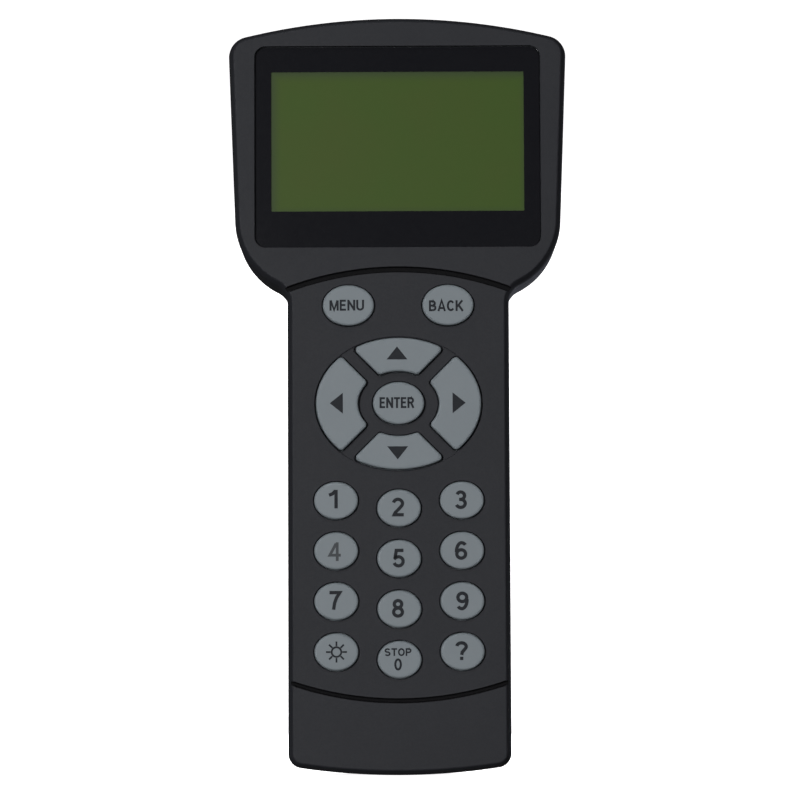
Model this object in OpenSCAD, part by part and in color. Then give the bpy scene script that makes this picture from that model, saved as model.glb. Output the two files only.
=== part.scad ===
// Hand controller: a two-shell handset with a screen head, a straight handle,
// nineteen silicone keys and two cable sockets in its bottom end.
// It stands upright: X to the right, Z along the handle, the front face towards -Y.
// Each piece is drawn lying on its back, X right, Y along the handle, at a depth d
// behind the front face, and upright() then stands it up.

/* [Body] */
// Overall length, bottom end to the crown of the head (mm)
body_length = 215.4; // [213:0.1:217]
// Half width of the straight handle
handle_half_width = 31.5; // [31:0.25:32]
// Thickness from the front face to the back face
body_depth = 28; // [27:0.5:34]
// Wall thickness of both shells
wall = 2.4; // [2.2:0.1:2.5]
// Width of the curved bevel around the front face, seen from the front
bevel_width = 1.4; // [0.8:0.1:1.6]
// Radius of the rounding around the back face
rear_round = 3.5; // [2.5:0.1:3.6]
// Depth of the two grooves across the front face
groove_depth = 1; // [0.5:0.1:1.3]

/* [Screen] */
// Width of the screen window
window_width = 81.2; // [80.5:0.1:82]
// Height of the screen window
window_height = 57.5; // [56:0.1:58]
// Width of the viewing area
view_width = 72; // [68:0.5:72.5]
// Height of the viewing area
view_height = 40; // [36:0.5:41]

/* [Keys] */
// How far a key stands above the front face
key_proud = 1.4; // [1:0.05:1.6]
// Travel of a key until its foot meets the board
key_travel = 1.0; // [0.6:0.05:1.05]
// Gap between a key and its opening
key_gap = 0.3; // [0.2:0.05:0.4]
// Half width of a number key
number_key_a = 6.2; // [5.8:0.05:6.4]
// Half height of a number key
number_key_b = 5.25; // [4.8:0.05:5.4]
// Half width of the direction pad
pad_a = 23.35; // [22.5:0.05:23.5]
// Half height of the direction pad
pad_b = 18.65; // [18:0.05:18.8]
// Width of the diagonal arms between the direction keys
pad_arm = 3.8; // [3.4:0.1:4.4]

/* [Hidden] */
$fn = 64;
eps = 0.05;

// Depths behind the front face
part_line = 10;            // joint between the two shells
board_front = 8.5;         // key side of the circuit board
board_rear = 10.1;
flange_front = 2.8;        // flange that keeps a key behind the wall
flange_back = 3.6;
foot_end = board_front - 0.1 - key_travel;
mat_front = 6.9;           // rubber sheet on the board
screw_seat = 20;           // shoulder under the case screw heads

// The bevel around the front face is an arc that starts at this angle from the face
bevel_start = 45;
bevel_r = bevel_width / (1 - sin(bevel_start));

// Outline, a chain of tangent arcs
top_r = 185;
corner_r = 6;
side_slope = 2.1;          // the head narrows downwards by this angle
side_point = [48.1, body_length - 12];
shoulder_r = 21;
shoulder_y = 157.5;
neck_r = 6;
foot_r = 4.1;
bottom_r = 190;

side_normal = [cos(side_slope), -sin(side_slope)];
side_offset = side_normal * side_point;
top_c = [0, body_length - top_r];
corner_foot = side_normal * (side_offset - corner_r) - top_c;
corner_run = [sin(side_slope), cos(side_slope)];
corner_s = -corner_foot * corner_run
    + sqrt(pow(corner_foot * corner_run, 2) - corner_foot * corner_foot + pow(top_r - corner_r, 2));
corner_c = top_c + corner_foot + corner_run * corner_s;
shoulder_c = [(side_offset - shoulder_r - side_normal[1] * shoulder_y) / side_normal[0], shoulder_y];
neck_x = handle_half_width + neck_r;
neck_c = [neck_x, shoulder_y - sqrt(pow(shoulder_r + neck_r, 2) - pow(neck_x - shoulder_c[0], 2))];
foot_x = handle_half_width - foot_r;
foot_c = [foot_x, bottom_r - sqrt(pow(bottom_r - foot_r, 2) - pow(foot_x, 2))];
bottom_c = [0, bottom_r];

top_end = atan2(corner_c[1] - top_c[1], corner_c[0]);
neck_start = atan2(neck_c[1] - shoulder_c[1], neck_c[0] - shoulder_c[0]);
foot_end_angle = atan2(foot_c[1] - bottom_c[1], foot_c[0]);

// Screen
window_y = 178.1;
view_y = 179.7;
window_corner = 3.1;
window_sunk = 0.3;
window_back = 1.5;
pocket_depth = 1.8;

// Keys
pad_y = 104.7;
pad_inner_a = 11.45;
pad_inner_b = 9.15;
pad_recess = 0.5;
flange = 0.8;
stem_inset = 1.2;
column_pitch = 17.75;
row_pitch = 14.2;
row_1 = 77.3;
middle_drop = 2.2;
menu_at = [-14.1, 132.6];
back_at = [14.1, 132.6];
enter_at = [0, 104.8];
menu_size = [7.25, 5.75];
enter_size = [7.25, 6];
number_size = [number_key_a, number_key_b];
oval_keys = concat(
    [[menu_at, menu_size], [back_at, menu_size], [enter_at, enter_size]],
    [for (row = [0:3], column = [-1:1]) [number_at(column, row), number_size]]);

// Fixings
case_screws_at = [[41.8, 200], [36, 149], [24.8, 11.5]];
board_screws_at = [[29, 146], [24, 119], [24, 90.5], [18, 21]];
key_leds_at = concat([[0, 132], [0, 83.3]],
    [for (side = [-1, 1], y = [70.2, 56, 41.8]) [side * 8.9, y]]);
boss_r = 3.7;
post_r = 2.4;

// Cable sockets: x of the centre, body width, plug cavity width, number of contacts
jack_y0 = 1.2;
jack_length = 16;
jack_end_depth = 21.6;
mount_jack_spec = [-12.5, 13.2, 9.9, 6];
serial_jack_spec = [12.5, 11.2, 7.9, 4];

light_y = 200;

// ---- helpers ----

// Centre of a number key; the middle column sits a little lower
function number_at(column, row) =
    [column * column_pitch, row_1 - row * row_pitch - (column == 0 ? middle_drop : 0)];

function arc(c, r, a0, a1, steps) =
    [for (i = [0:steps]) let (a = a0 + (a1 - a0) * i / steps) c + r * [cos(a), sin(a)]];

// Right half of the outline, crown to bottom, moved inwards by t
function half_outline(t) = concat(
    arc(top_c, top_r - t, 90, top_end, 6),
    arc(corner_c, corner_r - t, top_end, -side_slope, 7),
    arc(shoulder_c, shoulder_r - t, -side_slope, neck_start, 12),
    arc(neck_c, neck_r + t, neck_start + 180, 180, 7),
    arc(foot_c, foot_r - t, 0, foot_end_angle, 6),
    arc(bottom_c, bottom_r - t, foot_end_angle, -90, 4));

// Tangent joints give the same point twice, and one of them is dropped
function distinct(points) =
    [for (i = [0:len(points) - 1]) if (i == 0 || norm(points[i] - points[i - 1]) > 0.01) points[i]];

function outline(t) = let (half = distinct(half_outline(t)), m = len(half))
    concat(half, [for (i = [m - 2:-1:1]) [-half[i][0], half[i][1]]]);

module upright() {
    translate([0, (key_proud - body_depth) / 2, 0])
        rotate([90, 0, 0])
            children();
}

// A flat shape given thickness between two depths
module plate(d0, d1) {
    translate([0, 0, -d1])
        linear_extrude(d1 - d0)
            children();
}

module at(points) {
    for (p = points)
        translate([p[0], p[1], 0])
            children();
}

module at_both(points) {
    for (side = [-1, 1], p = points)
        translate([side * p[0], p[1], 0])
            children();
}

module box(x0, x1, y0, y1, d0, d1) {
    translate([x0, y0, -d1])
        cube([x1 - x0, y1 - y0, d1 - d0]);
}

module oval(a, b) {
    scale([a, b])
        circle(r = 1);
}

module rounded(w, h, r, y) {
    translate([0, y])
        polygon(concat(
            arc([w / 2 - r, h / 2 - r], r, 0, 90, 8),
            arc([r - w / 2, h / 2 - r], r, 90, 180, 8),
            arc([r - w / 2, r - h / 2], r, 180, 270, 8),
            arc([w / 2 - r, r - h / 2], r, 270, 360, 8)));
}

// Skin through the outline at several [depth, inset] levels, front level first.
// The end caps are strips between mirrored points.
module loft(levels) {
    rings = [for (level = levels) outline(level[1])];
    n = len(rings[0]);
    half = n / 2;
    last = (len(levels) - 1) * n;
    cap = [for (i = [0:half - 1])
        i == 0 ? [0, 1, n - 1] : i == half - 1 ? [i, i + 1, n - i] : [i, i + 1, n - i - 1, n - i]];
    sides = [for (k = [0:len(levels) - 2], i = [0:n - 1])
        [k * n + (i + 1) % n, k * n + i, (k + 1) * n + i, (k + 1) * n + (i + 1) % n]];
    rear_cap = [for (face = cap) [for (i = [len(face) - 1:-1:0]) last + face[i]]];
    polyhedron(
        points = [for (k = [0:len(levels) - 1]) for (p = rings[k]) [p[0], p[1], -levels[k][0]]],
        faces = concat(cap, sides, rear_cap));
}

// Outline of one direction key, pointing along angle
module pad_quarter(angle, grow) {
    tip = (pad_arm / 2 - grow) * sqrt(2);
    reach = 40;
    intersection() {
        difference() {
            oval(pad_a + grow, pad_b + grow);
            oval(pad_inner_a - grow, pad_inner_b - grow);
        }
        rotate(angle)
            polygon([[tip, 0], [tip + reach, reach], [tip + reach, -reach]]);
    }
}

// A silicone key: softened top, body, flange behind the wall, stem with the contact foot
module oval_key(centre, size) {
    translate([centre[0], centre[1], 0]) {
        plate(-key_proud, 0.25 - key_proud) oval(size[0] - 0.5, size[1] - 0.5);
        plate(0.25 - key_proud, 0.6 - key_proud) oval(size[0] - 0.15, size[1] - 0.15);
        plate(0.6 - key_proud, flange_front) oval(size[0], size[1]);
        plate(flange_front, flange_back) oval(size[0] + flange, size[1] + flange);
        plate(flange_back, foot_end) oval(size[0] - stem_inset, size[1] - stem_inset);
    }
}

module pad_key(angle) {
    translate([0, pad_y, 0]) {
        plate(-key_proud, 0.25 - key_proud) pad_quarter(angle, -0.5);
        plate(0.25 - key_proud, 0.6 - key_proud) pad_quarter(angle, -0.15);
        plate(0.6 - key_proud, flange_front) pad_quarter(angle, 0);
        plate(flange_front, flange_back) pad_quarter(angle, flange);
        plate(flange_back, foot_end) pad_quarter(angle, -stem_inset);
    }
}

module number_key(column, row) {
    color("Gray") upright() oval_key(number_at(column, row), number_size);
}

// All the key outlines at once, each grown by the same amount
module key_outlines(grow) {
    for (key = oval_keys)
        translate(key[0])
            oval(key[1][0] + grow, key[1][1] + grow);
    for (angle = [0:90:270])
        translate([0, pad_y])
            pad_quarter(angle, grow);
}

module groove(r, apex, width, up) {
    centre_y = apex - up * r;
    plate(-eps, groove_depth)
        intersection() {
            translate([0, centre_y]) difference() {
                circle(r = r + width / 2, $fn = 180);
                circle(r = r - width / 2, $fn = 180);
            }
            translate([-45, apex + (up > 0 ? -20 : -5)])
                square([90, 25]);
        }
}

// ---- case ----

module front_shell() {
    bevel_steps = 5;
    levels = concat(
        [for (i = [0:bevel_steps]) let (a = bevel_start + (90 - bevel_start) * i / bevel_steps)
            [bevel_r * (cos(bevel_start) - cos(a)), bevel_r * (1 - sin(a))]],
        [[part_line, 0]]);
    color("DimGray") upright()
        difference() {
            union() {
                difference() {
                    loft(levels);
                    plate(wall, part_line + 1) polygon(outline(wall));
                }
                // tongue that enters the rear shell
                plate(part_line - 0.5, part_line + 1.1)
                    difference() {
                        polygon(outline(wall / 2 + 0.05));
                        polygon(outline(wall));
                    }
                at_both(case_screws_at) plate(wall - 0.4, part_line + 0.4) circle(r = boss_r);
                at_both(board_screws_at) plate(wall - 0.4, board_front) circle(r = post_r);
            }
            plate(-eps, pocket_depth)
                rounded(window_width + 0.2, window_height + 0.2, window_corner + 0.1, window_y);
            plate(0, wall + eps) rounded(view_width + 2, view_height + 2, 1, view_y);
            translate([0, pad_y, 0]) plate(-eps, pad_recess) oval(pad_a + 0.4, pad_b + 0.4);
            plate(-eps, wall + eps) key_outlines(key_gap);
            groove(90, 142.9, 1.4, 1);
            groove(94, 20.95, 1.1, -1);
            at_both(case_screws_at) plate(4.6, part_line + 1) circle(r = 1.3);
            at_both(board_screws_at) plate(4.5, board_front + 1) circle(r = 1.05);
            for (jack = [mount_jack_spec, serial_jack_spec])
                box(jack[0] - jack[1] / 2 - 0.15, jack[0] + jack[1] / 2 + 0.15,
                    -1, 5, part_line, part_line + 2);
        }
}

module rear_shell() {
    round_steps = 6;
    levels = concat(
        [[part_line, 0]],
        [for (i = [0:round_steps]) let (a = 90 * i / round_steps)
            [body_depth - rear_round * (1 - sin(a)), rear_round * (1 - cos(a))]]);
    color("DimGray") upright()
        difference() {
            union() {
                difference() {
                    loft(levels);
                    plate(part_line - 1, body_depth - wall) polygon(outline(wall));
                }
                at_both(case_screws_at) plate(part_line + 0.6, body_depth - wall + 0.4) circle(r = boss_r);
            }
            // rebate for the tongue
            plate(part_line - 1, part_line + 1.2)
                difference() {
                    polygon(outline(wall / 2 - 0.1));
                    polygon(outline(wall + 0.1));
                }
            at_both(case_screws_at) plate(screw_seat, body_depth + eps) circle(r = 2.5);
            at_both(case_screws_at) plate(part_line, screw_seat + 1) circle(r = 1.45);
            for (jack = [mount_jack_spec, serial_jack_spec])
                box(jack[0] - jack[1] / 2 - 0.15, jack[0] + jack[1] / 2 + 0.15,
                    -1, 5, part_line - 1, jack_end_depth + 0.15);
            translate([0, light_y, 0]) plate(part_line, body_depth + eps) circle(r = 3.1);
        }
}

module case_screws() {
    color("Silver") upright()
        at_both(case_screws_at) {
            plate(5, screw_seat + 0.5) circle(r = 1.25);
            difference() {
                plate(screw_seat, screw_seat + 1.7) circle(r = 2.3);
                // cross recess
                box(-1.2, 1.2, -0.25, 0.25, screw_seat + 0.8, screw_seat + 2);
                box(-0.25, 0.25, -1.2, 1.2, screw_seat + 0.8, screw_seat + 2);
            }
        }
}

// ---- screen ----

module display_window() {
    color("Black") upright()
        plate(window_sunk, window_back) rounded(window_width, window_height, window_corner, window_y);
}

module window_border() {
    color("Black") upright()
        plate(window_back, window_back + 0.1)
            difference() {
                rounded(window_width, window_height, window_corner, window_y);
                rounded(view_width, view_height, 0.5, view_y);
            }
}

module window_tape() {
    color("DarkSlateGray") upright()
        plate(window_back + 0.1, pocket_depth)
            difference() {
                rounded(window_width - 0.4, window_height - 0.4, window_corner, window_y);
                rounded(view_width + 3, view_height + 3, 1, view_y);
            }
}

module lcd_glass() {
    color("DarkOliveGreen") upright()
        plate(3, 5) rounded(73.2, 50, 0.5, view_y);
}

module lcd_heater() {
    color("Peru") upright()
        plate(5, 5.2)
            difference() {
                rounded(72.8, 49.6, 0.5, view_y);
                rounded(62, 39, 0.5, view_y);
            }
}

module lcd_backlight() {
    color("Honeydew") upright()
        plate(5.2, 7.9) rounded(73, 49.8, 0.5, view_y);
}

module lcd_holder() {
    color("DarkSlateGray") upright()
        difference() {
            plate(2.6, board_front) rounded(75.6, 53, 1, view_y);
            plate(3, board_front + 1) rounded(73.4, 50.2, 0.5, view_y);
            plate(2, 4) rounded(72.6, 42, 0.5, view_y);
            // way out for the ribbon
            box(-15.5, 15.5, 150, 156, 7.95, board_front + 1);
        }
}

module lcd_flex() {
    color("Orange") upright() {
        box(-15, 15, 149, 160, 8.05, 8.25);
        box(-16, 16, 147.2, 150.5, 7.2, board_front);
    }
}

// ---- circuit board ----

module main_board() {
    color("DarkGreen") upright()
        difference() {
            union() {
                box(-37.8, 37.8, 153, 206.5, board_front, board_rear);
                box(-32, 32, 141, 153.5, board_front, board_rear);
                box(-28, 28, 16, 141.5, board_front, board_rear);
                box(-20.8, 20.8, 4.4, 16.5, board_front, board_rear);
            }
            at_both(board_screws_at) plate(board_front - 1, board_rear + 1) circle(r = 1.15);
        }
}

module board_screws() {
    color("Silver") upright()
        at_both(board_screws_at) {
            plate(4.9, board_rear + 0.5) circle(r = 1);
            difference() {
                plate(board_rear, board_rear + 1.4) circle(r = 1.9);
                box(-1, 1, -0.2, 0.2, board_rear + 0.7, board_rear + 2);
                box(-0.2, 0.2, -1, 1, board_rear + 0.7, board_rear + 2);
            }
        }
}

module processor_chip() {
    color("DarkSlateGray") upright()
        translate([8, 172, 0]) {
            plate(board_rear + 0.1, board_rear + 1.5) square(14, center = true);
            for (turn = [0:90:270], i = [-6:6])
                rotate(turn) box(6.8, 8.2, i - 0.2, i + 0.2, board_rear, board_rear + 0.3);
        }
}

module memory_chip() {
    color("DarkSlateGray") upright()
        translate([-14, 186, 0]) {
            plate(board_rear + 0.1, board_rear + 1.7) square([5, 10], center = true);
            for (side = [-1, 1], i = [-3:3])
                box(side * 3.2 - 0.9, side * 3.2 + 0.9, i * 1.27 - 0.2, i * 1.27 + 0.2,
                    board_rear, board_rear + 0.3);
        }
}

module board_parts() {
    color("Tan") upright() {
        for (i = [0:5])
            box(-4.5, -3, 160 + i * 4, 162.6 + i * 4, board_rear, board_rear + 1);
        for (i = [0:4])
            box(20 + i * 3, 21.4 + i * 3, 186, 189, board_rear, board_rear + 1.1);
        for (x = [-8, 0, 8])
            translate([x, 34, 0]) plate(board_rear, board_rear + 6) circle(r = 2.5);
    }
}

module voltage_regulator() {
    color("DarkSlateGray") upright() {
        box(-3.2, 3.2, 42, 48, board_rear, board_rear + 2.3);
        box(-2.7, 2.7, 47.5, 50, board_rear, board_rear + 0.6);
        for (x = [-2.3, 0, 2.3])
            box(x - 0.4, x + 0.4, 39.5, 42.5, board_rear, board_rear + 0.5);
    }
}

module beeper() {
    color("Black") upright()
        translate([-24, 168, 0])
            difference() {
                plate(board_rear, board_rear + 6.5) circle(r = 6);
                plate(board_rear + 5.5, board_rear + 7) circle(r = 1);
            }
}

module key_leds() {
    color("Red") upright()
        at(key_leds_at) box(-1, 1, -0.6, 0.6, board_front - 0.6, board_front);
}

// ---- cable sockets ----

module jack_body(spec) {
    half = spec[1] / 2;
    cavity = spec[2] / 2;
    contacts = (spec[3] + 1) / 2;
    difference() {
        box(-half, half, jack_y0, jack_y0 + jack_length, board_rear, jack_end_depth);
        box(-cavity, cavity, 0, 14.2, 12.3, 19.2);
        box(-1.8, 1.8, 0, 9, 19, 21);
        box(-contacts, contacts, 3.2, 15, 11, 12.4);
        box(-contacts, contacts, 13.9, 15, 10, 11.1);
    }
}

module jack_contacts(spec) {
    pitch = 1.02;
    for (i = [0:spec[3] - 1]) {
        x = (i - (spec[3] - 1) / 2) * pitch;
        box(x - 0.2, x + 0.2, 3.6, 14.6, 11.5, 11.8);
        box(x - 0.2, x + 0.2, 14.3, 14.6, board_rear, 11.8);
    }
}

module mount_jack() {
    color("Black") upright() translate([mount_jack_spec[0], 0, 0]) jack_body(mount_jack_spec);
}

module mount_jack_contacts() {
    color("Gold") upright() translate([mount_jack_spec[0], 0, 0]) jack_contacts(mount_jack_spec);
}

module serial_jack() {
    color("Black") upright() translate([serial_jack_spec[0], 0, 0]) jack_body(serial_jack_spec);
}

module serial_jack_contacts() {
    color("Gold") upright() translate([serial_jack_spec[0], 0, 0]) jack_contacts(serial_jack_spec);
}

// ---- keys ----

module keypad_mat() {
    color("SlateGray") upright()
        difference() {
            plate(mat_front, board_front) rounded(49, 116.6, 3, 82.6);
            plate(mat_front - 1, board_front + 1) key_outlines(0.5 - stem_inset);
            at_both(board_screws_at) plate(mat_front - 1, board_front + 1) circle(r = post_r + 0.4);
            at(key_leds_at) box(-1.3, 1.3, -0.9, 0.9, mat_front - 1, board_front + 1);
        }
}

module key_menu() { color("Gray") upright() oval_key(menu_at, menu_size); }
module key_back() { color("Gray") upright() oval_key(back_at, menu_size); }
module key_enter() { color("Gray") upright() oval_key(enter_at, enter_size); }
module key_right() { color("Gray") upright() pad_key(0); }
module key_up() { color("Gray") upright() pad_key(90); }
module key_left() { color("Gray") upright() pad_key(180); }
module key_down() { color("Gray") upright() pad_key(270); }
module key_1() { number_key(-1, 0); }
module key_2() { number_key(0, 0); }
module key_3() { number_key(1, 0); }
module key_4() { number_key(-1, 1); }
module key_5() { number_key(0, 1); }
module key_6() { number_key(1, 1); }
module key_7() { number_key(-1, 2); }
module key_8() { number_key(0, 2); }
module key_9() { number_key(1, 2); }
module key_light() { number_key(-1, 3); }
module key_0_stop() { number_key(0, 3); }
module key_help() { number_key(1, 3); }

// ---- reading light on the back of the head ----

module reading_light_led() {
    color("Red") upright()
        translate([0, light_y, 0]) {
            plate(19, 20.2) circle(r = 2.9);
            plate(20, 24.2) circle(r = 2.5);
        }
}

module reading_light_lens() {
    color("DarkRed") upright()
        translate([0, light_y, 0]) {
            plate(24.6, body_depth - wall) circle(r = 4.2);
            plate(25, body_depth - 0.3) circle(r = 3);
        }
}

module reading_light_leads() {
    color("Silver") upright()
        translate([0, light_y, 0])
            for (side = [-1, 1])
                translate([side * 1.27, 0, 0]) plate(board_rear, 19) circle(r = 0.3, $fn = 24);
}

front_shell();
rear_shell();
display_window();
window_border();
window_tape();
lcd_glass();
lcd_heater();
lcd_backlight();
lcd_holder();
lcd_flex();
main_board();
processor_chip();
memory_chip();
board_parts();
voltage_regulator();
key_leds();
beeper();
mount_jack();
mount_jack_contacts();
serial_jack();
serial_jack_contacts();
keypad_mat();
key_menu();
key_back();
key_enter();
key_up();
key_down();
key_left();
key_right();
key_1();
key_2();
key_3();
key_4();
key_5();
key_6();
key_7();
key_8();
key_9();
key_light();
key_0_stop();
key_help();
reading_light_led();
reading_light_lens();
reading_light_leads();
case_screws();
board_screws();
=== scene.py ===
"""Looks of the hand controller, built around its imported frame.

Shapes are worked out in millimetres on the plan of the controller: x to the right, y along the
handle from its bottom end, d the depth behind the front face. plan() turns them into the frame.
"""
import math

import bmesh
import bpy
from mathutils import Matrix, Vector


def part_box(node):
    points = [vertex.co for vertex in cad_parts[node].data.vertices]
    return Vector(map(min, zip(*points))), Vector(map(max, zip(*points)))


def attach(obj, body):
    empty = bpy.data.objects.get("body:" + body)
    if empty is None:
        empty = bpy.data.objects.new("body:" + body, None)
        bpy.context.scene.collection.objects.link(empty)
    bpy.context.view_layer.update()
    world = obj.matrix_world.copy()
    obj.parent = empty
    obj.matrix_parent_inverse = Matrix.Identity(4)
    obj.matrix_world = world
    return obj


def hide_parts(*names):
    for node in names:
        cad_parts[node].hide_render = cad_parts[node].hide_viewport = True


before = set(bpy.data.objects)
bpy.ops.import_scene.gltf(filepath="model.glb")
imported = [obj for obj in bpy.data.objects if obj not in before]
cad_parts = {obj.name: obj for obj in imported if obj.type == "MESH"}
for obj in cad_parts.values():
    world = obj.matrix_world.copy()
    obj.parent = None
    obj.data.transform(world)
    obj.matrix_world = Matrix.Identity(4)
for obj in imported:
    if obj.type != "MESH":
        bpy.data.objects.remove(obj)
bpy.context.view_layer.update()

MM = 0.001
CASE = "case"
FRONT_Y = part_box("front_shell")[0].y      # the plane of the front face
REAR_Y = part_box("rear_shell")[1].y
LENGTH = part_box("front_shell")[1].z / MM
DEPTH = (REAR_Y - FRONT_Y) / MM
PROUD = (FRONT_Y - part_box("key_1")[0].y) / MM

WALL = 2.4
PART_LINE = 10.0
LIP = 0.22             # rounded edge of each shell along the parting line
SEAM = 0.02            # half the gap between the two shells
BEVEL_WIDTH = 1.4
BEVEL_SLOPE = 64.0
REAR_ROUND = 3.5
KEY_GAP = 0.22
VIEW = (72.0, 40.0)    # width and height of the green viewing area
VIEW_Y = 179.7         # its middle on the plan


def plan(x, y, d):
    """A plan point in millimetres as a point of the frame in metres."""
    return Vector((x * MM, FRONT_Y + d * MM, y * MM))


# ---------------------------------------------------------------- outlines

def arc(cx, cy, r, a0, a1, steps):
    """Points of a circular arc, angles in degrees."""
    angles = [math.radians(a0 + (a1 - a0) * i / steps) for i in range(steps + 1)]
    return [(cx + r * math.cos(a), cy + r * math.sin(a)) for a in angles]


def case_arcs():
    """The outline's tangent arcs from crown to bottom: centre, radius, angles, bulge, steps."""
    top_r, bottom_r = 185.0, 190.0
    corner_r, shoulder_r, neck_r, foot_r = 6.0, 21.0, 6.0, 4.1
    slope, shoulder_y, handle = 2.1, 157.5, 31.5
    normal = Vector((math.cos(math.radians(slope)), -math.sin(math.radians(slope))))
    run = Vector((-normal.y, normal.x))
    offset = normal.dot(Vector((48.1, LENGTH - 12.0)))
    top = Vector((0.0, LENGTH - top_r))
    foot_point = normal * (offset - corner_r) - top
    s = -foot_point.dot(run) + math.sqrt(
        foot_point.dot(run) ** 2 - foot_point.length_squared + (top_r - corner_r) ** 2)
    corner = top + foot_point + run * s
    shoulder = Vector(((offset - shoulder_r - normal.y * shoulder_y) / normal.x, shoulder_y))
    neck_x = handle + neck_r
    neck = Vector((neck_x, shoulder_y - math.sqrt(
        (shoulder_r + neck_r) ** 2 - (neck_x - shoulder.x) ** 2)))
    foot_x = handle - foot_r
    foot = Vector((foot_x, bottom_r - math.sqrt((bottom_r - foot_r) ** 2 - foot_x ** 2)))
    top_end = math.degrees(math.atan2(corner.y - top.y, corner.x))
    neck_start = math.degrees(math.atan2(neck.y - shoulder.y, neck.x - shoulder.x))
    foot_end = math.degrees(math.atan2(foot.y - bottom_r, foot.x))
    return [
        (top, top_r, 90, top_end, 1, 16),
        (corner, corner_r, top_end, -slope, 1, 16),
        (shoulder, shoulder_r, -slope, neck_start, 1, 24),
        (neck, neck_r, neck_start + 180, 180, -1, 16),
        (foot, foot_r, 0, foot_end, 1, 14),
        (Vector((0, bottom_r)), bottom_r, foot_end, -90, 1, 10),
    ]


ARCS = case_arcs()


def case_outline(inset):
    """Closed outline of the case, moved inwards, clockwise from the crown."""
    half = []
    for centre, r, a0, a1, bulge, steps in ARCS:
        half += arc(centre.x, centre.y, r - bulge * inset, a0, a1, steps)
    half = [p for i, p in enumerate(half) if i == 0 or math.dist(p, half[i - 1]) > 0.01]
    return half + [(-x, y) for x, y in reversed(half[1:-1])]


def oval(cx, cy, a, b, grow=0.0, steps=72):
    """Ellipse moved outwards by grow along its own normals."""
    points = []
    for i in range(steps):
        t = -2 * math.pi * i / steps
        nx, ny = math.cos(t) / a, math.sin(t) / b
        n = math.hypot(nx, ny)
        points.append((cx + a * math.cos(t) + grow * nx / n, cy + b * math.sin(t) + grow * ny / n))
    return points


def rounded_box(cx, cy, w, h, r, grow=0.0, steps=10):
    """Rectangle with round corners, moved outwards by grow."""
    x, y, r = w / 2 + grow, h / 2 + grow, max(r + grow, 0.05)
    corners = [(x - r, y - r, 90), (x - r, r - y, 0), (r - x, r - y, -90), (r - x, y - r, -180)]
    points = []
    for px, py, a in corners:
        points += arc(cx + px, cy + py, r, a, a - 90, steps)
    return points


PAD_Y = 104.7
PAD_OUT = (23.35, 18.65)
PAD_IN = (11.45, 9.15)
PAD_ARM = 3.8
PAD_CORNER = 1.1


def pad_quarter(angle, grow=0.0):
    """Outline of a direction key with round corners; angle is 0, 90, 180 or 270."""
    along = 0 if angle % 180 == 0 else 1
    g = grow - PAD_CORNER
    tip = (PAD_ARM / 2 - g) * math.sqrt(2)

    def crossing(au, av):
        p = 1 / au ** 2 + 1 / av ** 2
        q = -2 * tip / av ** 2
        c = tip ** 2 / av ** 2 - 1
        u = (-q + math.sqrt(q * q - 4 * p * c)) / (2 * p)
        return math.atan2((u - tip) / av, u / au)

    def sweep(au, av, t0, t1, side, steps):
        out = []
        for i in range(steps + 1):
            t = t0 + (t1 - t0) * i / steps
            nu, nv = math.cos(t) / au, math.sin(t) / av
            n = side / math.hypot(nu, nv)
            out.append((au * math.cos(t), av * math.sin(t), nu * n, nv * n))
        return out

    def corner(u, v, n0, n1, steps=6):
        a0, a1 = math.atan2(n0[1], n0[0]), math.atan2(n1[1], n1[0])
        while a1 > a0:
            a1 -= 2 * math.pi
        return [(u, v, math.cos(a0 + (a1 - a0) * i / steps), math.sin(a0 + (a1 - a0) * i / steps))
                for i in range(1, steps)]

    au, av = PAD_OUT[along] + g, PAD_OUT[1 - along] + g
    bu, bv = PAD_IN[along] - g, PAD_IN[1 - along] - g
    to, ti = crossing(au, av), crossing(bu, bv)
    outer = sweep(au, av, to, -to, 1, 30)
    inner = sweep(bu, bv, -ti, ti, -1, 20)
    r = math.sqrt(0.5)
    low, high = (-r, -r), (-r, r)         # outward normals of the two straight sides
    path = outer
    path = path + corner(*outer[-1][:2], outer[-1][2:], low)
    path = path + [(*outer[-1][:2], *low), (*inner[0][:2], *low)]
    path = path + corner(*inner[0][:2], low, inner[0][2:])
    path = path + inner
    path = path + corner(*inner[-1][:2], inner[-1][2:], high)
    path = path + [(*inner[-1][:2], *high), (*outer[0][:2], *high)]
    path = path + corner(*outer[0][:2], high, outer[0][2:])
    a = math.radians(angle)
    points = []
    for u, v, nu, nv in path:
        pu, pv = u + nu * PAD_CORNER, v + nv * PAD_CORNER
        points.append((pu * math.cos(a) - pv * math.sin(a), PAD_Y + pu * math.sin(a) + pv * math.cos(a)))
    return points


# ---------------------------------------------------------------- meshes

def make_object(name, verts, faces):
    """Object from plan points (x, y, d) in millimetres."""
    mesh = bpy.data.meshes.new(name)
    mesh.from_pydata([plan(*v) for v in verts], [], faces)
    mesh.validate()
    obj = bpy.data.objects.new(name, mesh)
    bpy.context.scene.collection.objects.link(obj)
    return obj


def loft(rings):
    """Closed solid through rings of equal length, given from the front back; returns verts, faces."""
    n = len(rings[0])
    verts = [p for ring in rings for p in ring]
    faces = [tuple(range(n))[::-1]]
    for k in range(len(rings) - 1):
        a, b = k * n, (k + 1) * n
        faces += [(a + i, a + (i + 1) % n, b + (i + 1) % n, b + i) for i in range(n)]
    last = (len(rings) - 1) * n
    faces.append(tuple(range(last, last + n)))
    return verts, faces


def ring(points, d):
    """Plan points put at the depth d."""
    return [(x, y, d) for x, y in points]


def merged(parts):
    """Several (verts, faces) lists as one."""
    verts, faces = [], []
    for v, f in parts:
        base = len(verts)
        verts += v
        faces += [tuple(i + base for i in face) for face in f]
    return verts, faces


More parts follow.
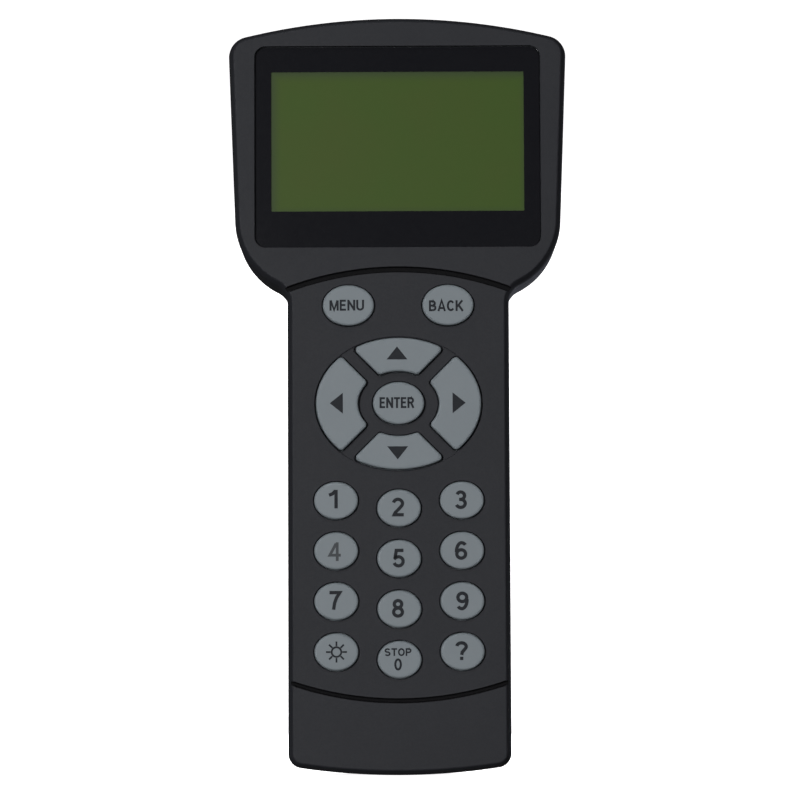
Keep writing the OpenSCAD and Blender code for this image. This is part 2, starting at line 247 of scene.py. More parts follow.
def orient(obj):
    """Makes the normals point out of every closed shell."""
    bm = bmesh.new()
    bm.from_mesh(obj.data)
    bmesh.ops.recalc_face_normals(bm, faces=bm.faces)
    bm.to_mesh(obj.data)
    bm.free()


def cut(obj, parts, name, look=None):
    """Takes the closed solids in parts out of obj; the cut faces can get a look of their own."""
    cutter = make_object(name, *merged(parts))
    orient(cutter)
    if look:
        cutter.data.materials.append(look)
    mod = obj.modifiers.new("cut", "BOOLEAN")
    mod.operation = "DIFFERENCE"
    mod.solver = "EXACT"
    mod.material_mode = "TRANSFER"
    mod.object = cutter
    dg = bpy.context.evaluated_depsgraph_get()
    result = bpy.data.meshes.new_from_object(obj.evaluated_get(dg))
    obj.modifiers.clear()
    old = obj.data
    obj.data = result
    bpy.data.meshes.remove(old)
    bpy.data.objects.remove(cutter)


def smooth(obj, angle=32):
    """Smooth shading with the flats kept flat."""
    for poly in obj.data.polygons:
        poly.use_smooth = True
    obj.data.set_sharp_from_angle(angle=math.radians(angle))
    mod = obj.modifiers.new("normals", "WEIGHTED_NORMAL")
    mod.keep_sharp = True
    mod.weight = 90


def finish_piece(obj, body, look, *nodes, slot=None):
    """Puts a piece on its body; look None keeps the looks it already has."""
    if look:
        obj.data.materials.clear()
        obj.data.materials.append(look)
    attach(obj, body)
    if nodes:
        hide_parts(*nodes)
    return obj


# ---------------------------------------------------------------- materials

def material(name):
    """New node material; returns the material, its nodes, its links and its shader."""
    mat = bpy.data.materials.new(name)
    mat.use_nodes = True
    nodes, links = mat.node_tree.nodes, mat.node_tree.links
    return mat, nodes, links, nodes["Principled BSDF"]


def noise(nodes, links, scale, detail=2.0):
    """Noise that runs through the solid, in object coordinates."""
    coords = nodes.new("ShaderNodeTexCoord")
    tex = nodes.new("ShaderNodeTexNoise")
    tex.inputs["Scale"].default_value = scale
    tex.inputs["Detail"].default_value = detail
    links.new(coords.outputs["Object"], tex.inputs["Vector"])
    return tex


def spread(nodes, links, source, low, high):
    """Maps a noise to the range low to high."""
    ramp = nodes.new("ShaderNodeMapRange")
    ramp.inputs["From Min"].default_value = 0.3
    ramp.inputs["From Max"].default_value = 0.7
    ramp.inputs["To Min"].default_value = low
    ramp.inputs["To Max"].default_value = high
    links.new(source, ramp.inputs["Value"])
    return ramp.outputs["Result"]


def textured(name, colour, other, rough, grain=2600.0, bump=0.12, blotch=60.0, specular=0.35,
             metallic=0.0):
    """Colour that drifts a little, roughness that varies and a fine moulded grain."""
    mat, nodes, links, shader = material(name)
    broad = noise(nodes, links, blotch, 3.0)
    fine = noise(nodes, links, grain, 2.0)
    mix = nodes.new("ShaderNodeMix")
    mix.data_type = "RGBA"
    mix.inputs["A"].default_value = (*colour, 1)
    mix.inputs["B"].default_value = (*other, 1)
    links.new(spread(nodes, links, broad.outputs["Fac"], 0, 1), mix.inputs["Factor"])
    links.new(mix.outputs["Result"], shader.inputs["Base Color"])
    links.new(spread(nodes, links, fine.outputs["Fac"], rough[0], rough[1]), shader.inputs["Roughness"])
    node = nodes.new("ShaderNodeBump")
    node.inputs["Strength"].default_value = bump
    node.inputs["Distance"].default_value = 0.0001
    links.new(fine.outputs["Fac"], node.inputs["Height"])
    links.new(node.outputs["Normal"], shader.inputs["Normal"])
    shader.inputs["Specular IOR Level"].default_value = specular
    shader.inputs["Metallic"].default_value = metallic
    return mat


def clear_pane():
    """Clear acrylic: mostly see-through with a faint reflection."""
    mat, nodes, links, shader = material("clear_acrylic")
    out = nodes["Material Output"]
    clear = nodes.new("ShaderNodeBsdfTransparent")
    mix = nodes.new("ShaderNodeMixShader")
    mix.inputs["Fac"].default_value = 0.015
    haze = noise(nodes, links, 300.0, 3.0)
    links.new(spread(nodes, links, haze.outputs["Fac"], 0.03, 0.09), shader.inputs["Roughness"])
    shader.inputs["Base Color"].default_value = (0.02, 0.02, 0.02, 1)
    links.new(clear.outputs["BSDF"], mix.inputs[1])
    links.new(shader.outputs["BSDF"], mix.inputs[2])
    links.new(mix.outputs["Shader"], out.inputs["Surface"])
    return mat


def lcd_material():
    """Unlit green reflective screen with a painted shadow of the window frame: darker towards its border,
    most at the left and top.
    """
    mat, nodes, links, shader = material("lcd_green")
    coords = nodes.new("ShaderNodeTexCoord")
    split = nodes.new("ShaderNodeSeparateXYZ")
    links.new(coords.outputs["Object"], split.inputs["Vector"])
    # Painted shadow of the window frame: near the border the green is mixed towards a darker green, more at
    # the left and top as the centre is set off right and down.
    frame_shadow_edges = []
    for axis, centre, half in (("X", 0.7, VIEW[0] / 2), ("Z", VIEW_Y - 0.7, VIEW[1] / 2)):
        off = nodes.new("ShaderNodeMath")
        off.operation = "SUBTRACT"
        off.inputs[1].default_value = centre * MM
        links.new(split.outputs[axis], off.inputs[0])
        size = nodes.new("ShaderNodeMath")
        size.operation = "ABSOLUTE"
        links.new(off.outputs[0], size.inputs[0])
        fade = nodes.new("ShaderNodeMapRange")
        fade.interpolation_type = "SMOOTHSTEP"
        fade.inputs["From Min"].default_value = (half - 2.6) * MM
        fade.inputs["From Max"].default_value = (half + 1.9) * MM
        links.new(size.outputs[0], fade.inputs["Value"])
        frame_shadow_edges.append(fade.outputs["Result"])
    frame_shadow_amount = nodes.new("ShaderNodeMath")
    frame_shadow_amount.operation = "MAXIMUM"
    links.new(frame_shadow_edges[0], frame_shadow_amount.inputs[0])
    links.new(frame_shadow_edges[1], frame_shadow_amount.inputs[1])
    cloud = noise(nodes, links, 45.0, 2.0)
    tint = nodes.new("ShaderNodeMix")
    tint.data_type = "RGBA"
    tint.inputs["A"].default_value = (0.040, 0.080, 0.0064, 1)
    tint.inputs["B"].default_value = (0.045, 0.076, 0.0072, 1)
    links.new(spread(nodes, links, cloud.outputs["Fac"], 0, 1), tint.inputs["Factor"])
    # This mix paints the frame's shadow in a darker green.
    shade = nodes.new("ShaderNodeMix")
    shade.data_type = "RGBA"
    shade.inputs["B"].default_value = (0.030, 0.048, 0.018, 1)
    links.new(frame_shadow_amount.outputs[0], shade.inputs["Factor"])
    links.new(tint.outputs["Result"], shade.inputs["A"])
    links.new(shade.outputs["Result"], shader.inputs["Base Color"])
    shader.inputs["Roughness"].default_value = 0.55
    shader.inputs["Specular IOR Level"].default_value = 0.2
    return mat


CASE_BLACK = textured("case_black_plastic", (0.0206, 0.0216, 0.0258), (0.0187, 0.0197, 0.0238),
                      (0.54, 0.68), specular=0.18)
# Painted shade: the groove faces get a black far darker than the case, for the shade inside the grooves.
GROOVE_PAINTED_SHADE = textured("groove_painted_shade", (0.0035, 0.0035, 0.0042), (0.0030, 0.0030, 0.0036),
                        (0.6, 0.75), specular=0.08)
KEY_GREY = textured("key_grey_silicone", (0.178, 0.203, 0.220), (0.168, 0.193, 0.210),
                    (0.52, 0.66), grain=1800.0, bump=0.06, specular=0.35)
BORDER_BLACK = textured("window_border_black", (0.0068, 0.0070, 0.0092), (0.0060, 0.0062, 0.0084),
                        (0.14, 0.16), grain=500.0, bump=0.01, specular=0.3)
LCD_GREEN = lcd_material()
LEGEND_INK = textured("legend_ink", (0.013, 0.015, 0.019), (0.016, 0.018, 0.022),
                      (0.55, 0.7), grain=1500.0, bump=0.05, specular=0.15)
WORN_INK = textured("legend_ink_worn", (0.048, 0.052, 0.057), (0.060, 0.065, 0.071),
                    (0.55, 0.7), grain=1500.0, bump=0.05, specular=0.2)
SOCKET_BLACK = textured("socket_black_plastic", (0.012, 0.012, 0.013), (0.016, 0.016, 0.017),
                        (0.3, 0.42), grain=1200.0, bump=0.04)
SCREW_STEEL = textured("screw_steel", (0.30, 0.30, 0.31), (0.38, 0.38, 0.39), (0.28, 0.42),
                       grain=900.0, bump=0.08, metallic=1.0)
GOLD = textured("contact_gold", (0.72, 0.50, 0.16), (0.66, 0.44, 0.13), (0.2, 0.32),
                grain=900.0, bump=0.03, metallic=1.0)
RED_LENS = textured("red_lens", (0.30, 0.006, 0.006), (0.24, 0.004, 0.004), (0.12, 0.2),
                    grain=700.0, bump=0.02, specular=0.6)


# ---------------------------------------------------------------- case

def quarter(steps):
    """Angles from 0 to 90 degrees, in radians."""
    return [math.radians(90 * i / steps) for i in range(steps + 1)]


def rimmed(outline, surface, fillet, bottom, gap=0.0, steps=5):
    """Cutter for an opening with a rounded rim at depth surface. outline(grow) gives the ring."""
    rings = [ring(outline(gap + fillet), surface - 0.6)]
    for a in quarter(steps):
        grow = gap + fillet * (1 - math.sin(a))
        rings.append(ring(outline(grow), surface + fillet * (1 - math.cos(a))))
    rings.append(ring(outline(gap), bottom))
    return loft(rings)


def groove_cutter(r, apex, width, up, depth=1.05, rim=0.18):
    """A band along a circular arc with rounded rims and a round-cornered floor."""
    half = width / 2
    profile = [(half + rim, -0.8)]
    profile += [(half + rim * (1 - math.sin(a)), rim * (1 - math.cos(a))) for a in quarter(3)]
    floor = 0.35
    profile += [(half - floor * (1 - math.cos(a)), depth - floor * (1 - math.sin(a))) for a in quarter(3)]
    loop = profile + [(-o, d) for o, d in reversed(profile)]
    cy = apex - up * r
    reach = math.degrees(math.asin(40.0 / r))
    steps = 60
    rings = []
    for i in range(steps + 1):
        a = math.radians(up * 90 - reach + 2 * reach * i / steps)
        rings.append([((r + o) * math.cos(a), cy + (r + o) * math.sin(a), d) for o, d in loop])
    return loft(rings)


COLUMN, ROW = 17.75, 14.2


def number_at(column, row):
    return column * COLUMN, 77.3 - row * ROW - (2.2 if column == 0 else 0)


NUMBER_KEYS = ["key_1", "key_2", "key_3", "key_4", "key_5", "key_6",
               "key_7", "key_8", "key_9", "key_light", "key_0_stop", "key_help"]
OVAL_KEYS = {"key_menu": (-14.1, 132.6, 7.25, 5.75), "key_back": (14.1, 132.6, 7.25, 5.75),
             "key_enter": (0, 104.8, 7.25, 6.0)}
for index, key in enumerate(NUMBER_KEYS):
    OVAL_KEYS[key] = (*number_at(index % 3 - 1, index // 3), 6.2, 5.25)
PAD_KEYS = {"key_right": 0, "key_up": 90, "key_left": 180, "key_down": 270}

CASE_SCREWS = [(side * x, y) for side in (-1, 1) for x, y in ((41.8, 200), (36, 149), (24.8, 11.5))]
JACKS = [(-12.5, 13.2), (12.5, 11.2)]
JACK_END = 21.6
LIGHT_Y = 200.0
WINDOW = (81.2, 57.5)
WINDOW_Y = 178.1
WINDOW_CORNER = 3.1


def window_outline(grow):
    return rounded_box(0, WINDOW_Y, *WINDOW, WINDOW_CORNER, grow)


def key_outline(name):
    """Function of grow that gives the outline of a key."""
    if name in PAD_KEYS:
        return lambda grow: pad_quarter(PAD_KEYS[name], grow)
    x, y, a, b = OVAL_KEYS[name]
    return lambda grow: oval(x, y, a, b, grow)


def box_cutter(x0, x1, y0, y1, d0, d1):
    square = [(x0, y0), (x0, y1), (x1, y1), (x1, y0)]
    return loft([ring(square, d0), ring(square, d1)])


def front_bevel():
    """Levels (depth, inset) of the bevel around the front face: small round, steep slope, small round."""
    slope = math.radians(BEVEL_SLOPE)
    crease, end = 0.4, 1.6
    drop = BEVEL_WIDTH * math.tan(slope)
    levels = [(0.0, BEVEL_WIDTH + 1.6)]
    steps = 5
    for i in range(steps + 1):
        a = slope * i / steps
        r = crease / math.tan(slope / 2)
        levels.append((r * (1 - math.cos(a)), BEVEL_WIDTH + crease - r * math.sin(a)))
    turn = math.pi / 2 - slope
    r = end / math.tan(turn / 2)
    for i in range(steps + 1):
        a = slope + turn * i / steps
        levels.append((drop + end - r * math.cos(a), r * (1 - math.sin(a))))
    return levels


def front_shell():
    rings = [ring(case_outline(inset), d) for d, inset in front_bevel()]
    joint, tongue = PART_LINE - SEAM, PART_LINE + 1.1
    tongue_inset = WALL / 2 + 0.05
    rings += [ring(case_outline(0), PART_LINE - LIP), ring(case_outline(LIP), joint),
              ring(case_outline(tongue_inset), joint), ring(case_outline(tongue_inset), tongue),
              ring(case_outline(WALL), tongue), ring(case_outline(WALL), WALL)]
    obj = make_object("front_case", *loft(rings))
    orient(obj)
    obj.data.materials.append(CASE_BLACK)
    shallow = [
        rimmed(window_outline, 0, 0.16, 1.8, 0.06),
        rimmed(lambda g: oval(0, PAD_Y, 23.75, 19.05, g, 144), 0, 0.22, 0.5),
    ]
    cut(obj, shallow, "shallow_cutter", CASE_BLACK)
    # The groove faces take the painted-shade black.
    grooves = [groove_cutter(90, 142.9, 1.4, 1), groove_cutter(94, 20.95, 1.1, -1)]
    cut(obj, grooves, "groove_cutter", GROOVE_PAINTED_SHADE)
    through = []
    for name in list(OVAL_KEYS) + list(PAD_KEYS):
        surface = 0.5 if name in PAD_KEYS or name == "key_enter" else 0.0
        through.append(rimmed(key_outline(name), surface, 0.25, WALL + 0.6, KEY_GAP, 4))
    through.append(loft([ring(rounded_box(0, VIEW_Y, 74, 42, 1), d) for d in (1.0, WALL + 0.6)]))
    for x, w in JACKS:
        half = w / 2 + 0.15
        through.append(box_cutter(x - half, x + half, -1, 5, PART_LINE - 0.05, 12))
    cut(obj, through, "opening_cutter", CASE_BLACK)
    smooth(obj)
    finish_piece(obj, CASE, None, "front_shell", slot="case_plastic")


def rear_well(x, y, r, deep, rim):
    """Cutter for a round hole in the back with a rounded rim."""
    rings = [ring(oval(x, y, r, r), DEPTH - deep)]
    rings += [ring(oval(x, y, r, r, rim * (1 - math.cos(a))), DEPTH - rim * (1 - math.sin(a)))
              for a in quarter(4)]
    rings.append(ring(oval(x, y, r, r, rim), DEPTH + 0.6))
    return loft(rings)


def rear_shell():
    joint, ledge = PART_LINE + SEAM, PART_LINE + 1.2
    ledge_inset = WALL / 2 - 0.1
    rings = [ring(case_outline(WALL), DEPTH - WALL), ring(case_outline(WALL), ledge),
             ring(case_outline(ledge_inset), ledge), ring(case_outline(ledge_inset), joint),
             ring(case_outline(LIP), joint), ring(case_outline(0), PART_LINE + LIP)]
    for a in quarter(12):
        rings.append(ring(case_outline(REAR_ROUND * (1 - math.cos(a))),
                          DEPTH - REAR_ROUND * (1 - math.sin(a))))
    rings.append(ring(case_outline(REAR_ROUND + 0.4), DEPTH))
    obj = make_object("rear_case", *loft(rings))
    orient(obj)
    cutters = [rear_well(x, y, 2.5, 3.2, 0.3) for x, y in CASE_SCREWS]
    cutters.append(rear_well(0, LIGHT_Y, 3.1, 4, 0.5))
    for x, w in JACKS:
        half = w / 2 + 0.15
        cutters.append(box_cutter(x - half, x + half, -1, 5, PART_LINE - 1, JACK_END + 0.15))
    cut(obj, cutters, "rear_cutter")
    smooth(obj)
    finish_piece(obj, CASE, CASE_BLACK, "rear_shell", slot="case_plastic")


# ---------------------------------------------------------------- keys

def key_mesh(name):
    """A silicone key: soft round top edge, flange behind the wall, stem with its contact foot."""
    outline = key_outline(name)
    edge = 0.65
    top = -PROUD
    flange, flange_front, flange_back = 0.8, 2.8, 3.6
    stem_inset, foot_end = 1.2, 7.4
    rings = [ring(outline(-edge - 1.6), top), ring(outline(-edge - 0.5), top)]
    for a in quarter(8):
        rings.append(ring(outline(-edge * (1 - math.sin(a))), top + edge * (1 - math.cos(a))))
    rings += [ring(outline(0), flange_front), ring(outline(flange), flange_front),
              ring(outline(flange), flange_back), ring(outline(-stem_inset), flange_back),
              ring(outline(-stem_inset), foot_end)]
    obj = make_object("silicone_" + name, *loft(rings))
    orient(obj)
    smooth(obj, 50)
    finish_piece(obj, name + "_body", KEY_GREY, name, slot="key_silicone")


front_shell()
rear_shell()
for key in list(OVAL_KEYS) + list(PAD_KEYS):
    key_mesh(key)


# ---------------------------------------------------------------- legends

INK = 0.04             # thickness of the printed ink


def bend(cx, cy, rx, ry, a0, a1, steps=14):
    """Points along part of an ellipse, angles in degrees."""
    angles = [math.radians(a0 + (a1 - a0) * i / steps) for i in range(steps + 1)]
    return [(cx + rx * math.cos(a), cy + ry * math.sin(a)) for a in angles]


# Centre lines of each sign in a cell one unit high. L, B and T are the left, bottom and top lines
# that keep a stroke inside the cell. Each entry is its width, its open strokes and its closed ones.
L = B = 0.085
T = 1 - B
GLYPHS = {
    "A": (0.74, [[(0.08, 0), (0.37, 1.0), (0.66, 0)], [(0.19, 0.28), (0.55, 0.28)]], []),
    "B": (0.66, [[(0.34, B), (L, B), (L, T), (0.32, T)] + bend(0.32, 0.715, 0.2, 0.2, 90, -90, 8),
                 [(L, 0.515), (0.34, 0.515)] + bend(0.34, 0.3, 0.235, 0.215, 90, -90, 8)], []),
    "C": (0.68, [bend(0.35, 0.5, 0.265, 0.415, 38, 322, 24)], []),
    "E": (0.58, [[(0.55, B), (L, B), (L, T), (0.54, T)], [(L, 0.515), (0.5, 0.515)]], []),
    "K": (0.70, [[(L, 0), (L, 1)], [(0.6, 1), (0.13, 0.4)], [(0.26, 0.57), (0.64, 0)]], []),
    "M": (0.80, [[(L, 0), (L, 0.95)], [(0.10, 0.96), (0.40, 0.06), (0.70, 0.96)],
                 [(0.715, 0.95), (0.715, 0)]], []),
    "N": (0.68, [[(L, 0), (L, 1)], [(0.09, 0.93), (0.59, 0.07)], [(0.595, 1), (0.595, 0)]], []),
    "O": (0.74, [], [bend(0.37, 0.5, 0.285, 0.415, 0, 345, 23)]),
    "P": (0.64, [[(L, 0), (L, T), (0.34, T)] + bend(0.34, 0.69, 0.215, 0.225, 90, -90, 8)
                 + [(L, 0.465)]], []),
    "R": (0.68, [[(L, 0), (L, T), (0.34, T)] + bend(0.34, 0.71, 0.215, 0.205, 90, -90, 8)
                 + [(L, 0.505)], [(0.34, 0.5), (0.6, 0)]], []),
    "S": (0.66, [bend(0.33, 0.7, 0.235, 0.215, 25, 180, 10) + bend(0.33, 0.7, 0.235, 0.19, 180, 270, 6)[1:]
                 + bend(0.33, 0.295, 0.245, 0.215, 90, -155, 14)[1:]], []),
    "T": (0.62, [[(0, T), (0.62, T)], [(0.31, T), (0.31, 0)]], []),
    "U": (0.68, [[(L, 1), (L, 0.35)] + bend(0.34, 0.34, 0.255, 0.255, 180, 360, 12) + [(0.595, 1)]], []),
    "0": (0.58, [], [bend(0.29, 0.5, 0.205, 0.415, 0, 345, 23)]),
    "1": (0.46, [[(0.36, 1), (0.36, 0)], [(0.02, 0.71), (0.2, 0.79), (0.33, 0.95)]], []),
    "2": (0.62, [bend(0.31, 0.69, 0.225, 0.225, 168, -28, 16)
                 + [(0.36, 0.40), (0.17, 0.20), (0.12, B), (0.60, B)]], []),
    "3": (0.62, [bend(0.30, 0.715, 0.19, 0.2, 160, -90, 14),
                 [(0.22, 0.515)] + bend(0.30, 0.30, 0.225, 0.215, 90, -160, 16)], []),
    "4": (0.66, [[(0.47, 0), (0.47, 1)], [(0.41, 0.93), (0.08, 0.31), (0.66, 0.31)]], []),
    "5": (0.62, [[(0.55, T), (0.19, T), (0.13, 0.51)] + bend(0.30, 0.33, 0.23, 0.245, 135, -160, 18)], []),
    "6": (0.62, [bend(0.33, 0.7, 0.215, 0.215, 25, 95, 6) + bend(0.345, 0.44, 0.26, 0.475, 100, 185, 9)],
          [bend(0.32, 0.31, 0.22, 0.225, 0, 342, 19)]),
    "7": (0.60, [[(0.02, T), (0.52, T), (0.36, 0.64), (0.27, 0.36), (0.22, 0)]], []),
    "8": (0.62, [], [bend(0.31, 0.725, 0.185, 0.19, 0, 342, 19), bend(0.31, 0.3, 0.22, 0.215, 0, 342, 19)]),
    "?": (0.60, [bend(0.30, 0.72, 0.205, 0.195, 172, -38, 16) + [(0.33, 0.42), (0.305, 0.27)],
                 [(0.305, 0.175), (0.305, 0)]], []),
}
width_9, open_9, closed_9 = GLYPHS["6"]
GLYPHS["9"] = (width_9, *[[[(width_9 - x, 1 - y) for x, y in line] for line in lines]
                          for lines in (open_9, closed_9)])


def ribbon(line, width, closed, lift=0.0):
    """A line of plan points as a flat strip of even width, with mitred bends, raised by lift."""
    n = len(line)
    left, right = [], []
    for i, (x, y) in enumerate(line):
        before = line[i - 1] if i or closed else None
        after = line[(i + 1) % n] if i < n - 1 or closed else None
        steps = []
        if before:
            steps.append(Vector((x - before[0], y - before[1])).normalized())
        if after:
            steps.append(Vector((after[0] - x, after[1] - y)).normalized())
        mean = sum(steps, Vector((0, 0))).normalized()
        stretch = width / 2 / max(mean.dot(steps[0]), 0.45)
        left.append((x - mean.y * stretch, y + mean.x * stretch))
        right.append((x + mean.y * stretch, y - mean.x * stretch))
    top, bottom = -PROUD - INK - lift, -PROUD + 0.02
    verts = ring(left, top) + ring(right, top) + ring(left, bottom) + ring(right, bottom)
    faces = []
    for i in range(n if closed else n - 1):
        j = (i + 1) % n
        faces += [(i, j, n + j, n + i), (2 * n + i, 3 * n + i, 3 * n + j, 2 * n + j),
                  (i, 2 * n + i, 2 * n + j, j), (n + i, n + j, 3 * n + j, 3 * n + i)]
    if not closed:
        e = n - 1
        faces += [(0, n, 3 * n, 2 * n), (e, 2 * n + e, 3 * n + e, n + e)]
    return verts, faces


def patch(points):
    """A small convex plan shape as a flat solid of ink."""
    return loft([ring(points, -PROUD - INK), ring(points, -PROUD + 0.02)])


def ink(name, key, parts, look):
    obj = make_object(name, *merged(parts))
    orient(obj)
    finish_piece(obj, key + "_body", look, slot="key_silicone")


def lettering(name, key, text, x, y, height, width, stroke, gap=0.13, look=None):
    """Plain sans lettering of a given height and overall width in millimetres, centred on (x, y)."""
    total = sum(GLYPHS[c][0] for c in text) + gap * (len(text) - 1)
    sx, left = width / total, x - width / 2
    parts = []
    for c in text:
        cell, open_lines, closed_lines = GLYPHS[c]
        for lines, closed in ((open_lines, False), (closed_lines, True)):
            for line in lines:
                points = [(left + px * sx, y + (py - 0.5) * height) for px, py in line]
                parts.append(ribbon(points, stroke, closed, 0.004 * (len(parts) % 4)))
        left += (cell + gap) * sx
    ink(name, key, parts, look or LEGEND_INK)


# How far each sign is printed from the middle of its key, in millimetres
PRINT_SHIFT = {
    "key_menu": (-0.45, 0), "key_back": (-0.5, -0.25), "key_enter": (-0.45, 0.1),
    "key_1": (-0.75, 0.4), "key_2": (-0.3, 0.3), "key_3": (-0.3, 0.1),
    "key_4": (-0.45, -0.2), "key_5": (-0.15, 0.1), "key_6": (-0.35, 0),
    "key_7": (-0.3, 0.3), "key_8": (-0.4, 0.2), "key_9": (0, 0),
    "key_0_stop": (-0.45, 0), "key_help": (-0.35, 0.25),
}
# Direction keys: angle, centre of the arrow
ARROWS = {"up": (90, -0.4, 119.0), "down": (270, -0.3, 90.7),
          "left": (180, -17.6, 104.8), "right": (0, 17.1, 104.8)}


def print_at(key):
    """Where the sign of an oval key is centred."""
    return [c + shift for c, shift in zip(OVAL_KEYS[key], PRINT_SHIFT[key])]


def legends():
    for key, word in (("key_menu", "MENU"), ("key_back", "BACK"), ("key_enter", "ENTER")):
        lettering("legend_" + word.lower(), key, word, *print_at(key), 3.05, 9.75, 0.58, 0.1)
    for digit in "123456789":
        key = "key_" + digit
        lettering("legend_" + digit, key, digit, *print_at(key), 5.25, 2.7 if digit == "1" else 3.5,
                  0.8 if digit == "4" else 0.95, look=WORN_INK if digit == "4" else None)
    x, y = print_at("key_0_stop")
    lettering("legend_stop", "key_0_stop", "STOP", x, y + 2.1, 2.15, 7.6, 0.44, 0.1)
    lettering("legend_0", "key_0_stop", "0", x, y - 1.35, 3.4, 2.2, 0.6)
    lettering("legend_help", "key_help", "?", *print_at("key_help"), 5.25, 3.85, 0.95)
    arrow = ((1.85, 0), (-1.85, 2.95), (-1.85, -2.95))
    for way, (angle, cx, cy) in ARROWS.items():
        c, s = math.cos(math.radians(angle)), math.sin(math.radians(angle))
        corners = [(cx + u * c - v * s, cy + u * s + v * c) for u, v in arrow]
        ink("legend_arrow_" + way, "key_" + way, [patch(corners)], LEGEND_INK)
    x, y = OVAL_KEYS["key_light"][:2]
    sun = [ribbon(bend(x, y, 1.35, 1.35, 0, 350, 35), 0.52, True)]
    for i in range(8):
        a = math.radians(45 * i)
        sun.append(ribbon([(x + r * math.cos(a), y + r * math.sin(a)) for r in (1.65, 2.95)], 0.5, False))
    ink("legend_sun", "key_light", sun, LEGEND_INK)


legends()


# ---------------------------------------------------------------- screen

def screen():
    """The black border behind the window, the green screen in it and the clear window in front."""
    sunk, pane_back = 0.3, 1.3
    print_front, print_back = 1.35, 1.6
    film_front, film_back = 1.68, 2.98
    levels = [ring(window_outline(-0.1), d) for d in (print_front, print_back)]
    obj = make_object("window_print", *loft(levels))
    orient(obj)
    opening = rounded_box(0, VIEW_Y, *VIEW, 0.3)
    cut(obj, [loft([ring(opening, print_front - 0.3), ring(opening, print_back + 0.3)])], "view_cutter")
    finish_piece(obj, CASE, BORDER_BLACK, "window_border", slot="black_film")
    film = rounded_box(0, VIEW_Y, VIEW[0] + 1.2, VIEW[1] + 1.2, 0.4)
    obj = make_object("lcd_front_film", *loft([ring(film, film_front), ring(film, film_back)]))
    orient(obj)
    finish_piece(obj, CASE, LCD_GREEN, slot="lcd_green")
    edge = 0.25
    rings = [ring(window_outline(-0.9), sunk)]
    for a in quarter(4):
        rings.append(ring(window_outline(-edge * (1 - math.sin(a))), sunk + edge * (1 - math.cos(a))))
    rings.append(ring(window_outline(0), pane_back))
    obj = make_object("window_pane", *loft(rings))
    orient(obj)
    smooth(obj)
    finish_piece(obj, CASE, clear_pane(), "display_window", slot="window_pane")


screen()

SLOT_LOOKS = {
    "lcd_glass": LCD_GREEN,
    "mount_jack": SOCKET_BLACK, "serial_jack": SOCKET_BLACK,
    "mount_jack_contacts": GOLD, "serial_jack_contacts": GOLD,
    "case_screws": SCREW_STEEL, "board_screws": SCREW_STEEL,
    "reading_light_lens": RED_LENS, "reading_light_led": RED_LENS, "key_leds": RED_LENS,
    "reading_light_leads": SCREW_STEEL,
    "keypad_mat": KEY_GREY,
    "window_tape": SOCKET_BLACK, "lcd_holder": SOCKET_BLACK, "beeper": SOCKET_BLACK,
    "processor_chip": SOCKET_BLACK, "memory_chip": SOCKET_BLACK, "voltage_regulator": SOCKET_BLACK,
    "main_board": textured("board_green", (0.015, 0.12, 0.035), (0.012, 0.10, 0.03), (0.3, 0.4)),
    "board_parts": textured("capacitor_tan", (0.42, 0.33, 0.2), (0.36, 0.28, 0.17), (0.35, 0.5)),
    "lcd_flex": textured("ribbon_amber", (0.5, 0.24, 0.05), (0.44, 0.2, 0.04), (0.3, 0.42)),
    "lcd_heater": textured("heater_amber", (0.42, 0.2, 0.05), (0.36, 0.17, 0.04), (0.3, 0.42)),
    "lcd_backlight": textured("diffuser_white", (0.7, 0.72, 0.68), (0.64, 0.66, 0.62), (0.4, 0.5)),
}
for node, look in SLOT_LOOKS.items():
    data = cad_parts[node].data
    data.materials.clear()
    data.materials.append(look)


# ---------------------------------------------------------------- stage

def sheet(name, profile, width=4.0):
    """A plain pale sheet that follows a profile of (y, z) points, in metres."""
    verts, faces = [], []
    for y, z in profile:
        verts += [(-width, y, z), (width, y, z)]
    for i in range(len(profile) - 1):
        faces.append((2 * i, 2 * i + 1, 2 * i + 3, 2 * i + 2))
    mesh = bpy.data.meshes.new(name)
    mesh.from_pydata(verts, [], faces)
    for poly in mesh.polygons:
        poly.use_smooth = True
    mesh.materials.append(PAPER)
    obj = bpy.data.objects.new(name, mesh)
    bpy.context.scene.collection.objects.link(obj)
    return obj


def glowing_paper():
    """Pale sheet lit from behind, so that it stays white around the object."""
    mat, nodes, links, shader = material("light_table_white")
    cloud = noise(nodes, links, 3.0, 2.0)
    shader.inputs["Base Color"].default_value = (0.9, 0.9, 0.9, 1)
    shader.inputs["Roughness"].default_value = 0.9
    shader.inputs["Specular IOR Level"].default_value = 0.0
    shader.inputs["Emission Color"].default_value = (1.0, 0.99, 1.0, 1)
    links.new(spread(nodes, links, cloud.outputs["Fac"], 0.90, 0.93), shader.inputs["Emission Strength"])
    return mat


PAPER = glowing_paper()


def backdrop():
    """Floor, and a wall that curves up from it. Both are seen but throw no light on the object."""
    bend_r, back = 0.6, 1.4
    curve = [(back - bend_r + bend_r * math.sin(a), bend_r * (1 - math.cos(a))) for a in quarter(12)]
    floor = sheet("floor", [(-3.0, 0.0), (back - bend_r, 0.0)])
    wall = sheet("wall", curve + [(back, 3.0)])
    for part in (floor, wall):
        part.visible_diffuse = False
        part.visible_glossy = False


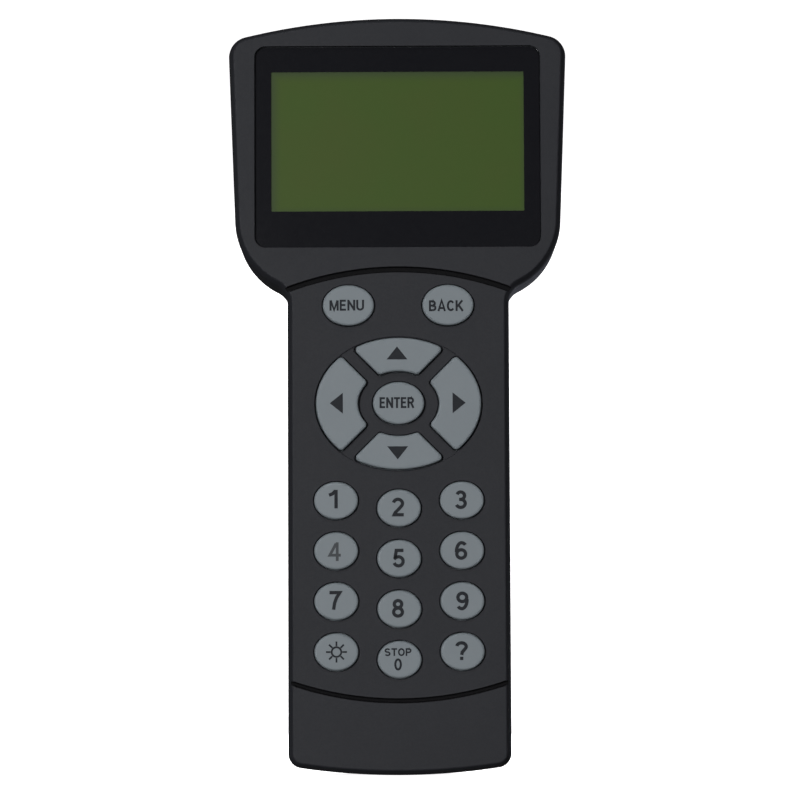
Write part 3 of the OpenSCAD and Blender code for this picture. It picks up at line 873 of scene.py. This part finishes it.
def area_light(name, location, target, size, power):
    data = bpy.data.lights.new(name, "AREA")
    data.shape = "RECTANGLE"
    data.size, data.size_y = size
    data.energy = power
    obj = bpy.data.objects.new(name, data)
    obj.location = location
    direction = Vector(target) - Vector(location)
    obj.rotation_euler = direction.to_track_quat("-Z", "Y").to_euler()
    bpy.context.scene.collection.objects.link(obj)
    return obj


def studio():
    """Soft boxes in front, dim surroundings, and a world that only the camera sees as white."""
    scene = bpy.context.scene
    world = bpy.data.worlds.new("studio")
    world.use_nodes = True
    nodes, links = world.node_tree.nodes, world.node_tree.links
    path = nodes.new("ShaderNodeLightPath")
    strength = nodes.new("ShaderNodeMapRange")
    strength.inputs["To Min"].default_value = 0.06
    strength.inputs["To Max"].default_value = 1.0
    links.new(path.outputs["Is Camera Ray"], strength.inputs["Value"])
    links.new(strength.outputs["Result"], nodes["Background"].inputs["Strength"])
    nodes["Background"].inputs["Color"].default_value = (0.97, 0.98, 1.0, 1)
    scene.world = world
    scene.view_settings.view_transform = "Standard"
    middle = (0, 0, 0.11)
    area_light("key_light_left", (-0.40, -1.0, 0.14), middle, (0.3, 0.22), 7.5)
    area_light("fill_light_right", (0.44, -1.25, 0.16), middle, (0.25, 0.2), 2.1)
    area_light("top_light", (-0.1, -1.3, 1.3), middle, (0.6, 0.6), 4.6)
    for name, place, size, power in (("back_light", (-0.15, 1.2, 0.65), (0.5, 0.5), 8.0),
                                     ("low_light_right", (0.22, 0.46, 0.06), (0.2, 0.1), 15.0)):
        lamp = area_light(name, place, middle, size, power)
        lamp.visible_glossy = False


def camera():
    """Camera in front of the controller, low and far off, looking slightly up."""
    distance, height = 1.0, 0.0331
    tilt, roll = math.radians(4.155), math.radians(0.24)
    data = bpy.data.cameras.new("camera")
    data.sensor_width = 36
    data.lens = 159.5
    data.clip_start = 0.01
    obj = bpy.data.objects.new("camera", data)
    obj.location = (0.0001, FRONT_Y - distance, height)
    obj.rotation_euler = (math.pi / 2 + tilt, roll, 0)
    bpy.context.scene.collection.objects.link(obj)
    bpy.context.scene.camera = obj


backdrop()
studio()
camera()
